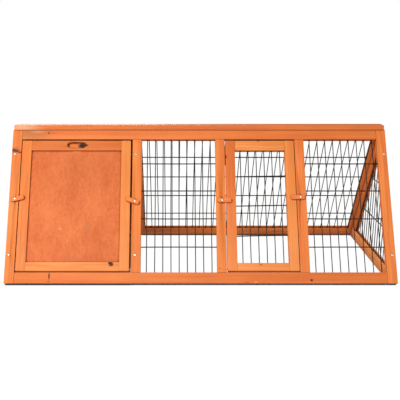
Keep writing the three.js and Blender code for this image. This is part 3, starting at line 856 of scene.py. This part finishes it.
@dataclass
class Carpentry:
    """All battens and boards, with the tone and the marks of each.

    Attributes:
        door_foot: How much paler the doors are towards the ground.
    """

    shop: Workshop
    door_foot: float = 0.6

    def mark(self, across: float, up: float, width: float, height: float, kind: Blemish,
             depth: float = 0.85, soft: float = 0.0) -> Mark:
        """Returns a mark on the front panel, with its place and its whole size in millimetres."""
        place = np.array([across * MM, up * MM, 0.0])
        return self.shop.front.mark(place, (width / 2 * MM, height / 2 * MM), kind, depth, soft)

    def edge_shade_line(self, node: str, side: Triple, way: Triple, width: float, kind: Blemish) -> Mark:
        """Makes a soft line of painted shade along the whole length of a timber's edge.

        Args:
            node: The timber.
            side: Where the edge is in the node's box, from 0 to 1 along each axis.
            way: The direction across the line.
            width: Its whole width, in millimetres.
            kind: What it is.

        Returns:
            The mark.
        """
        points = node_points(self.shop.nodes[node])
        low, high = points.min(0), points.max(0)
        place = (low + (high - low) * np.array(side)) * np.array([0.0, 1.0, 1.0])
        beyond_ends = 2.0
        return Mark(plain(place), way, (beyond_ends, width / 2 * MM), kind, 0.6, 0.6)

    def marks(self, node: str) -> tuple[Mark, ...]:
        """Returns the marks of one piece: those of the table, and the painted shade line on some edges."""
        marks = tuple(self.mark(*row) for row in FRONT_MARKS.get(node, ()))
        return marks + tuple(self.edge_shade_line(node, *row) for row in EDGE_SHADE_LINES.get(node, ()))

    def wood(self, node: str, pale_foot: float = 0.0) -> StainedWood:
        """Returns the finish of one timber."""
        return StainedWood(TONES.get(node, Tone.HONEY), self.marks(node), pale_foot)

    def build_frames(self) -> None:
        """Makes the two sloping frames and the ridge cap."""
        shop = self.shop
        for side, up in (("front", Grain.UP_FRONT), ("rear", Grain.UP_REAR)):
            for node in shop.nodes:
                if node.startswith(side) and ("stile" in node or "post" in node):
                    shop.saw(node, up, self.wood(node))
            for node in (f"{side}_top_rail", f"{side}_bottom_rail"):
                shop.saw(node, Grain.ACROSS, self.wood(node))
        shop.saw("rear_board", Grain.UP_REAR, StainedPlywood())
        shop.saw("ridge_cap", Grain.ACROSS, self.wood("ridge_cap"))

    def build_ends(self) -> None:
        """Makes the two triangular ends and the partition."""
        shop = self.shop
        for end in ("left_end", "right_end"):
            shop.saw(f"{end}_front_rail", Grain.UP_FRONT, StainedWood(Tone.AMBER))
            shop.saw(f"{end}_rear_rail", Grain.UP_REAR, StainedWood(Tone.AMBER))
            # The pale tone on the bottom rails is painted light on their lit top faces.
            shop.saw(f"{end}_bottom_rail", Grain.DEPTH, StainedWood(Tone.PALE))
        shop.saw("left_end_board", Grain.PLUMB, StainedPlywood())
        shop.saw("partition_board", Grain.DEPTH, StainedPlywood())

    def build_doors(self) -> None:
        """Makes the doors and the stops behind them."""
        shop = self.shop
        parts = {"left_stile": Grain.UP_FRONT, "right_stile": Grain.UP_FRONT,
                 "top_rail": Grain.ACROSS, "bottom_rail": Grain.ACROSS}
        for door in ("hide_door", "mesh_door"):
            for part, grain in parts.items():
                node = f"{door}_{part}"
                shop.saw(node, grain, self.wood(node, self.door_foot), door)
        board = "hide_door_board"
        shop.saw(board, Grain.UP_FRONT, StainedPlywood(self.marks(board)), "hide_door")
        for number in range(1, 5):
            shop.saw(f"door_stop_{number}", Grain.UP_FRONT, StainedWood(Tone.AMBER))


# ---- nets


@dataclass
class Net:
    """A flat welded net of upright wires with cross wires behind them.

    Attributes:
        start: From the frame round the net to its first upright wire.
        row_start: From the frame's lower side to the first cross wire.
        row_pitch: Between cross wires.
        pitch: Between upright wires.
        slant: Rise of the cross wires over a length of one across the panel.
        steep: Rise of a gable's slanting edges over a length of one, or 0 for a rectangle.
        upright: Radius of the upright wires, as cross is of the others.
        coat: How far the coat thickens each wire.
        sink: How deep crossing wires sink into each other.
        bow: Largest bend of a wire out of true.
        bite: How far the wires reach into the grooves round the net.
        weld_size: Half sizes of a weld, in radii of an upright wire.
    """

    node: str
    body: str
    start: float
    row_start: float
    row_pitch: float
    pitch: float = 25.2 * MM
    slant: float = 0.0
    steep: float = 0.0
    upright: float = 1.2 * MM
    cross: float = 1.6 * MM
    coat: float = 0.25 * MM
    sink: float = 0.4 * MM
    bow: float = 0.6 * MM
    bite: float = 6 * MM
    weld_size: Triple = (1.25, 1.4, 1.4)
    stations: int = 13

    def __post_init__(self) -> None:
        """Seeds the bends of the wires and starts without any."""
        self.draw = np.random.default_rng(len(self.node))
        self.shapes: list[Shape] = []

    @property
    def layers(self) -> tuple[float, float, float]:
        """Places of the uprights, the cross wires and the welds, out of the net's middle plane."""
        return self.cross - self.sink / 2, self.sink / 2 - self.upright, self.cross - self.upright

    def wire(self, ends: Points, way: Points, radius: float) -> None:
        """Adds one wire, bowed at random by a bend times the sine of the way along.

        Args:
            ends: The wire's ends.
            way: The direction of its bend.
            radius: Radius of the bare wire.
        """
        bend = way * self.draw.uniform(-1, 1) * self.bow
        share = np.linspace(0, 1, self.stations)[:, None]
        path = ends[0] + (ends[1] - ends[0]) * share + bend * np.sin(math.pi * share)
        self.shapes.append(tube(path, radius + self.coat))

    def weld(self, place: Points, axes: Points) -> None:
        """Adds the small bead where two wires cross, a sphere flattened to the wires.

        Args:
            place: Its middle.
            axes: Rows are the net's own directions.
        """
        cos, sin = circle(8)
        rise = np.linspace(-0.85, 0.85, 4)[:, None] * math.pi / 2
        ring = np.stack([np.cos(rise) * cos, np.cos(rise) * sin, np.sin(rise) + 0 * sin], -1)
        reach = self.upright * np.array(self.weld_size)
        self.shapes.append(closed_grid(place + (ring * reach) @ axes))

    def build(self, panel: PanelFrame, node: Piece, material: Material) -> None:
        """Makes the net in the plane of a panel.

        Under a gable an upright wire at x ends at the apex less |x| times the steepness, and a cross
        wire is as wide as the gable is at its height.

        Args:
            panel: Frame of the panel.
            node: The node, which gives the net's edges.
            material: The wire's material.
        """
        local = panel.to_panel(node_points(node))
        low, high = local.min(0), local.max(0)
        middle = (low + high) / 2
        upright, cross, weld = middle[2] + np.array(self.layers)
        columns = np.arange(low[0] + self.start + self.bite, high[0] - self.bite, self.pitch)
        for x in columns:
            top = high[1] - abs(x) * self.steep
            self.wire(panel.to_world([[x, low[1], upright], [x, top, upright]]), panel.axes[0], self.upright)
        for y in np.arange(low[1] + self.row_start + self.bite, high[1] - self.bite, self.row_pitch):
            reach = (high[1] - y) / self.steep if self.steep else math.inf
            left, right = max(low[0], -reach), min(high[0], reach)
            lean = self.slant * (right - left) / 2
            ends = panel.to_world([[left, y - lean, cross], [right, y + lean, cross]])
            self.wire(ends, panel.axes[1], self.cross)
            for x in columns[np.abs(columns) < reach - self.cross]:
                place = panel.to_world([[x, y + self.slant * (x - middle[0]), weld]])[0]
                self.weld(place, panel.axes)
        piece = mesh_object(f"{self.node}_wires", joined(self.shapes))
        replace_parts(piece, self.node)
        dress(piece, material, self.body)
        LOG.info("net %s", piece.name)


def build_nets(shop: Workshop) -> None:
    """Makes the five nets, with their wires where the frame's nets have them.

    Args:
        shop: The workshop, for the panels and the wires' materials.
    """
    dark = shop.material(CoatedWire(), "coated_wire")
    # The rear and end nets get a paler copy of the coated wire.
    paler_wire = shop.material(CoatedWire((0.030, 0.025, 0.020), (0.11, 0.092, 0.070)), "paler_coated_wire")
    pitch, from_right, steep = 90.5 * MM, 27 * MM, math.tan(shop.front.slope)
    span = np.ptp(node_points(shop.nodes["rear_mesh"])[:, 0]) - 2 * Net.bite
    rear_start = (span - from_right) % Net.pitch
    end_start = node_points(shop.nodes["right_end_mesh"])[:, 1].max() % Net.pitch
    end = Net("right_end_mesh", "frame", end_start, 113 * MM, 125.5 * MM, steep=steep, bite=0.0)
    nets = (
        (shop.front, dark, Net("front_mesh_1", "frame", 17.8 * MM, 80 * MM, pitch)),
        (shop.front, dark, Net("front_mesh_2", "frame", 19.4 * MM, 80 * MM, pitch)),
        (shop.front, dark, Net("mesh_door_mesh", "mesh_door", 17.5 * MM, 87 * MM, 96.7 * MM, slant=0.017)),
        (shop.rear, paler_wire, Net("rear_mesh", "frame", rear_start, 76.5 * MM, pitch)),
        (EndFrame(0.0), paler_wire, end),
    )
    for panel, material, net in nets:
        net.build(panel, shop.nodes[net.node], material)


# ---- fastenings


@dataclass
class RoundHeadScrew:
    """A pan-head screw with a cross recess and a thread.

    Attributes:
        wall: Height of the head's rim, as a share of the head's height.
        shank_radius: Outer radius of the thread.
        recess_reach: Reach of each slot, as a share of the head's radius.
        rings: Rings of the shank in one turn of the thread.
    """

    head_radius: float = 4 * MM
    head_height: float = 2.4 * MM
    wall: float = 0.42
    shank_radius: float = 1.75 * MM
    thread_pitch: float = 1.6 * MM
    thread_depth: float = 0.45 * MM
    recess_width: float = 1.1 * MM
    recess_depth: float = 1.3 * MM
    recess_reach: float = 0.62
    sides: int = 36
    shank_sides: int = 12
    rings: int = 5

    def head(self) -> Shape:
        """Makes the head: a quarter ellipse on a wall, less a cross that fades out at its reach.

        Returns:
            The closed head, standing on z = 0.
        """
        share = np.concatenate([[0.02], np.linspace(0.06, 0.68, 13), np.linspace(0.74, 1.0, 8)])
        cos, sin = circle(self.sides)
        radii = (share * self.head_radius)[:, None]
        x, y = radii * cos, radii * sin
        round_top = np.sqrt(np.clip(1 - share ** 2, 0, 1))[:, None]
        dome = self.head_height * (self.wall + (1 - self.wall) * round_top)
        arm = np.minimum(np.abs(x), np.abs(y)) / (self.recess_width / 2)
        end = np.hypot(x, y) / (self.recess_reach * self.head_radius)
        recess = np.clip((1.25 - arm) / 0.5, 0, 1) * np.clip((1.0 - end) / 0.3, 0, 1)
        top = np.stack([x, y, dome - self.recess_depth * recess], -1)
        skirt = np.stack([x[-1], y[-1], 0 * x[-1]], -1)
        return closed_grid(np.concatenate([skirt[None], top[::-1]]))

    def shank(self, length: float) -> Shape:
        """Makes the threaded shank, whose radius swings with the turn plus the way down in pitches.

        Args:
            length: Length of the shank, whose last two diameters run to a point.

        Returns:
            The closed shank, below z = 0.
        """
        down = np.linspace(length, 0.0, int(length / self.thread_pitch * self.rings))[:, None]
        cos, sin = circle(self.shank_sides)
        phase = (down / self.thread_pitch + np.arange(self.shank_sides) / self.shank_sides) % 1.0
        crest = 1 - np.abs(2 * phase - 1)
        taper = np.clip((length - down) / (4 * self.shank_radius), 0.08, 1.0)
        radius = (self.shank_radius - self.thread_depth * (1 - crest)) * taper
        return closed_grid(np.stack([radius * cos, radius * sin, -down + 0 * radius], -1))


@dataclass
class TurnButton:
    """A flat wooden tab with rounded ends and a crowned top, which turns on a screw.

    Attributes:
        pivot: From its short end to the screw.
        round_over: Radius of its upper edge.
        shrink: How far its lower edge is cut back.
        crown: How far the middle stands above the upper edge.
        flat: Half width of the flat at the top of the crown.
    """

    length: float = 46 * MM
    width: float = 14 * MM
    thickness: float = 8 * MM
    pivot: float = 15.5 * MM
    round_over: float = 2.2 * MM
    shrink: float = 0.4 * MM
    crown: float = 0.2 * MM
    flat: float = 0.3 * MM

    def outline(self, count: int = 24) -> tuple[Points, Points]:
        """Draws the rounded outline: half a circle about each end's middle.

        Args:
            count: Corners of each half circle.

        Returns:
            The points of the outline and the directions out of it.
        """
        angle = np.radians(np.concatenate([np.linspace(-90, 90, count), np.linspace(90, 270, count)]))
        out = np.stack([np.cos(angle), np.sin(angle)], -1)
        straight = self.length / 2 - self.width / 2
        centre = np.repeat([straight, -straight], count)[:, None] * np.array([1.0, 0.0])
        shift = np.array([self.length / 2 - self.pivot, 0.0])
        return centre + shift + out * self.width / 2, out

    def shape(self) -> Shape:
        """Makes the tab from its outline, drawn in round a quarter circle and over the crown.

        Returns:
            The closed tab, standing on z = 0 with its screw at the origin.
        """
        edge, out = self.outline()
        quarter, rise = np.linspace(0, math.pi / 2, 6), np.linspace(0, 1, 5)[1:]
        inset = np.concatenate([[self.shrink, 0.0, 0.0], self.round_over * (1 - np.cos(quarter)),
                                np.linspace(self.round_over, self.width / 2 - self.flat, 5)[1:]])
        top = self.thickness - self.crown
        height = np.concatenate([[0.0, self.shrink, top / 2],
                                 top - self.round_over * (1 - np.sin(quarter)), top + self.crown * rise])
        rings = np.empty((len(inset), len(edge), 3))
        rings[..., :2] = edge[None] - out[None] * inset[:, None, None]
        rings[..., 2] = height[:, None]
        return closed_grid(rings)


@dataclass
class Fastenings:
    """Screws, turn-buttons and hinge pins.

    Attributes:
        seat: Gap that touching pieces keep.
        frame_length: Length of the frame's screws, as button_length is of the buttons'.
        button_degrees: The way each button's long end points.
        shaded_end_size: Half the size of the painted shade at a button's right-hand end.
    """

    shop: Workshop
    screw: RoundHeadScrew = field(default_factory=RoundHeadScrew)
    button: TurnButton = field(default_factory=TurnButton)
    seat: float = 0.3 * MM
    frame_length: float = 35 * MM
    button_length: float = 22 * MM
    button_degrees: tuple[float, ...] = (13.0, 160.0, 0.0, 180.0)
    shaded_end_size: tuple[float, float] = (5 * MM, 8 * MM)

    def __post_init__(self) -> None:
        """Makes the steel and seeds the turns of the screws."""
        self.zinc = self.shop.material(ZincSteel(), "zinc_steel")
        self.draw = np.random.default_rng(7)

    def head_place(self, node: str, length: float) -> Points:
        """Finds where a screw's head stands on its face.

        Args:
            node: The screw's node.
            length: Length of its shank.

        Returns:
            The place, in the front panel's frame.
        """
        local = self.shop.front.to_panel(node_points(self.shop.nodes[node]))
        middle = (local.min(0) + local.max(0)) / 2
        return np.array([middle[0], middle[1], local[:, 2].min() + length])

    def drive(self, name: str, panel: PanelFrame, place: Points, length: float) -> Piece:
        """Drives a screw into the frame.

        Args:
            name: The piece's name.
            panel: The panel it goes into.
            place: Where its head stands, in the panel's frame.
            length: Length of its shank.

        Returns:
            The screw.
        """
        shape = joined([self.screw.shank(length), self.screw.head()])
        turn = self.draw.uniform(0, 1.5)
        piece = stood(name, shape, panel.to_world([place])[0], panel.axes, turn, 40)
        dress(piece, self.zinc, "frame")
        return piece

    def shaded_end_mark(self, pivot: Points, turn: float) -> Mark:
        """Makes the mark of painted shade at a turn-button's right-hand end.

        Args:
            pivot: The screw's place in the panel's frame.
            turn: The way the long end points.

        Returns:
            The mark.
        """
        way = np.array([math.cos(turn), math.sin(turn), 0.0])
        reach = self.button.length - self.button.pivot if way[0] > 0 else -self.button.pivot
        return self.shop.front.mark(pivot * [1, 1, 0] + way * reach, self.shaded_end_size, Blemish.KNOT_AND_SHADE, 0.6, 0.8)

    def build_button(self, number: int, pivot: Points, turn: float) -> None:
        """Makes a turn-button.

        Args:
            number: Its number, from the left.
            pivot: The screw's place in the panel's frame.
            turn: The way its long end points.
        """
        shop = self.shop
        foot = shop.front.to_world([[pivot[0], pivot[1], self.seat]])[0]
        name = f"turn_button_{number}"
        tab = stood(f"{name}_tab", self.button.shape(), foot, shop.front.axes, turn, 45)
        shop.lay_grain(tab, Grain.ACROSS)
        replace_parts(tab, name)
        # Painted shade on the button's right-hand end.
        finish = StainedWood(Tone.HONEY, (self.shaded_end_mark(pivot, turn),))
        dress(tab, shop.material(finish, f"wood_tab_{number}"), f"button_{number}")
        LOG.info("turn-button %d", number)

    def build(self) -> None:
        """Makes and dresses all fastenings, with the rear's screws as a mirror of the front's."""
        shop = self.shop
        for number in range(1, 7):
            node = f"frame_screw_{number}"
            place = self.head_place(node, self.frame_length)
            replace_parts(self.drive(f"{node}_pan_head", shop.front, place, self.frame_length), node)
            self.drive(f"rear_screw_{number}", shop.rear, place * [-1, 1, 1], self.frame_length)
        for number, degrees in enumerate(self.button_degrees, 1):
            node = f"turn_button_screw_{number}"
            place = self.head_place(node, self.button_length)
            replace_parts(self.drive(f"{node}_pan_head", shop.front, place, self.button_length), node)
            self.build_button(number, place, math.radians(degrees))
            coat(shop.nodes[f"hinge_pin_{number}"], self.zinc)


# ---- studio


@dataclass(frozen=True)
class Softbox:
    """A square area light aimed at the run."""

    name: str
    place: Triple
    size: float
    watts: float
    tint: Shade = WHITE

    def build(self, aim: Triple) -> None:
        """Adds the light.

        Args:
            aim: The point it is turned towards.
        """
        data = bpy.data.lights.new(self.name, "AREA")
        data.shape = "SQUARE"
        data.size = self.size
        data.energy = self.watts
        data.color = self.tint
        lamp = put(self.name, data)
        lamp.location = self.place
        way = np.array(aim) - np.array(self.place)
        nod = math.atan2(math.hypot(way[0], way[1]), -way[2])
        lamp.rotation_euler = (nod, 0.0, math.atan2(way[1], way[0]) - math.pi / 2)


@dataclass
class Studio:
    """White floor, white surroundings, soft lights and the camera.

    Attributes:
        hide: Lowest and highest corner of the ground inside the hide.
        hide_shade: How that ground shows beside the white of the floor.
        hide_rim: Where its shade fades out, as shares of its half width and half depth.
        tilt: Angle of the view below the horizon.
        lens: Focal length in millimetres, as sensor is the sensor's width.
        shift: Sideways shift of the frame, as a share of its width.
        ambient: Strength of the surroundings as a light.
        bounce: Strength of the floor as a light.
        contact: How near timber darkens the floor.
        contact_shade: Share of free sky from which the floor begins to show, and where it is white.
    """

    hide: tuple[Triple, Triple]
    hide_shade: Shade = (0.075, 0.026, 0.012)
    hide_rim: tuple[float, float] = (0.92, 1.0)
    camera_place: Triple = (-0.0842, -2.1937, 0.7862)
    tilt: float = math.radians(14.911)
    sensor: float = 36.0
    lens: float = 61.21
    shift: float = 0.0673
    ambient: float = 0.20
    bounce: float = 0.24
    contact: float = 6 * MM
    contact_shade: tuple[float, float] = (0.2, 0.7)
    floor_shade: Shade = (0.02, 0.02, 0.02)
    floor_radius: float = 30.0
    floor_sides: int = 96
    aim: Triple = (0.0, -0.1, 0.2)
    lights: tuple[Softbox, ...] = (
        Softbox("key", (-1.2, -2.3, 1.7), 1.8, 65.0, (1.0, 0.98, 0.95)),
        Softbox("fill", (0.9, -3.0, 0.7), 1.6, 28.0),
        Softbox("back", (-0.9, 2.6, 1.6), 1.8, 65.0),
        Softbox("left_end", (-2.9, 0.9, 0.9), 1.2, 18.0),
        Softbox("right_end", (2.9, 0.9, 0.9), 1.2, 26.0),
    )

    def build(self) -> None:
        """Makes the whole studio."""
        self.build_camera()
        self.build_floor()
        self.build_world()
        for light in self.lights:
            light.build(self.aim)
        bpy.context.scene.view_settings.view_transform = "Standard"

    def build_camera(self) -> None:
        """Adds the camera at the photograph's viewing angle."""
        data = bpy.data.cameras.new("camera")
        data.sensor_width = self.sensor
        data.lens = self.lens
        data.shift_x = self.shift
        camera = put("camera", data)
        camera.location = self.camera_place
        camera.rotation_euler = (math.pi / 2 - self.tilt, 0.0, 0.0)
        bpy.context.scene.camera = camera

    def build_floor(self) -> None:
        """Adds a round floor that glows white, and is shaded inside the hide and where timber meets it.

        The hide's ground is where the larger of |x| and |y|, from its middle and in shares of its
        half sizes, is under one. As a lamp the floor glows weakly.
        """
        cos, sin = circle(self.floor_sides)
        rim = self.floor_radius * np.stack([cos, sin, 0 * cos], -1)
        floor = mesh_object("floor", (rim, [list(range(self.floor_sides))]), smooth=False)
        white = bpy.data.materials.new("pale_floor")
        graph = Graph(white)
        middle, half = np.add(*self.hide) / 2, np.subtract(*self.hide[::-1]) / 2
        away = graph.vector("ABSOLUTE", graph.vector("SUBTRACT", graph.place(), plain(middle)))
        share = graph.add("SeparateXYZ", graph.vector("DIVIDE", away, plain(half))).outputs
        outside = graph.between(graph.math("MAXIMUM", share["X"], share["Y"]), *self.hide_rim)
        clear = graph.between(graph.openness(self.contact), *self.contact_shade)
        seen = graph.add("LightPath").outputs["Is Camera Ray"]
        graph.surface(Base_Color=(*self.floor_shade, 1.0), Roughness=1.0, Specular_IOR_Level=0.0,
                      Emission_Color=graph.mix(outside, self.hide_shade, WHITE),
                      Emission_Strength=graph.between(seen, 0.0, 1.0, self.bounce, clear))
        coat(floor, white)
        floor.visible_glossy = False

    def build_world(self) -> None:
        """Makes the surroundings white to the eye and dimmer as a light."""
        world = bpy.data.worlds.new("studio")
        bpy.context.scene.world = world
        graph = Graph(world, "Background")
        seen = graph.add("LightPath").outputs["Is Camera Ray"]
        graph.surface(Color=(*WHITE, 1.0), Strength=graph.between(seen, 0.0, 1.0, self.ambient, 1.0))


def main() -> None:
    """Builds the run around its frame, and the studio round it."""
    logging.basicConfig(level=logging.INFO, format="%(name)s %(message)s")
    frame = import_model()
    foot = -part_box("front_bottom_rail")[0].y
    left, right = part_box("left_end_bottom_rail")[0].x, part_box("partition_board")[0].x
    Studio(((left, -foot, 0.0), (right, foot, 1.0))).build()
    shop = Workshop(frame["nodes"], PanelFrame(foot), PanelFrame(foot, rear=True))
    carpentry = Carpentry(shop)
    carpentry.build_frames()
    carpentry.build_ends()
    carpentry.build_doors()
    build_nets(shop)
    Fastenings(shop).build()


if __name__ == "__main__":
    main()
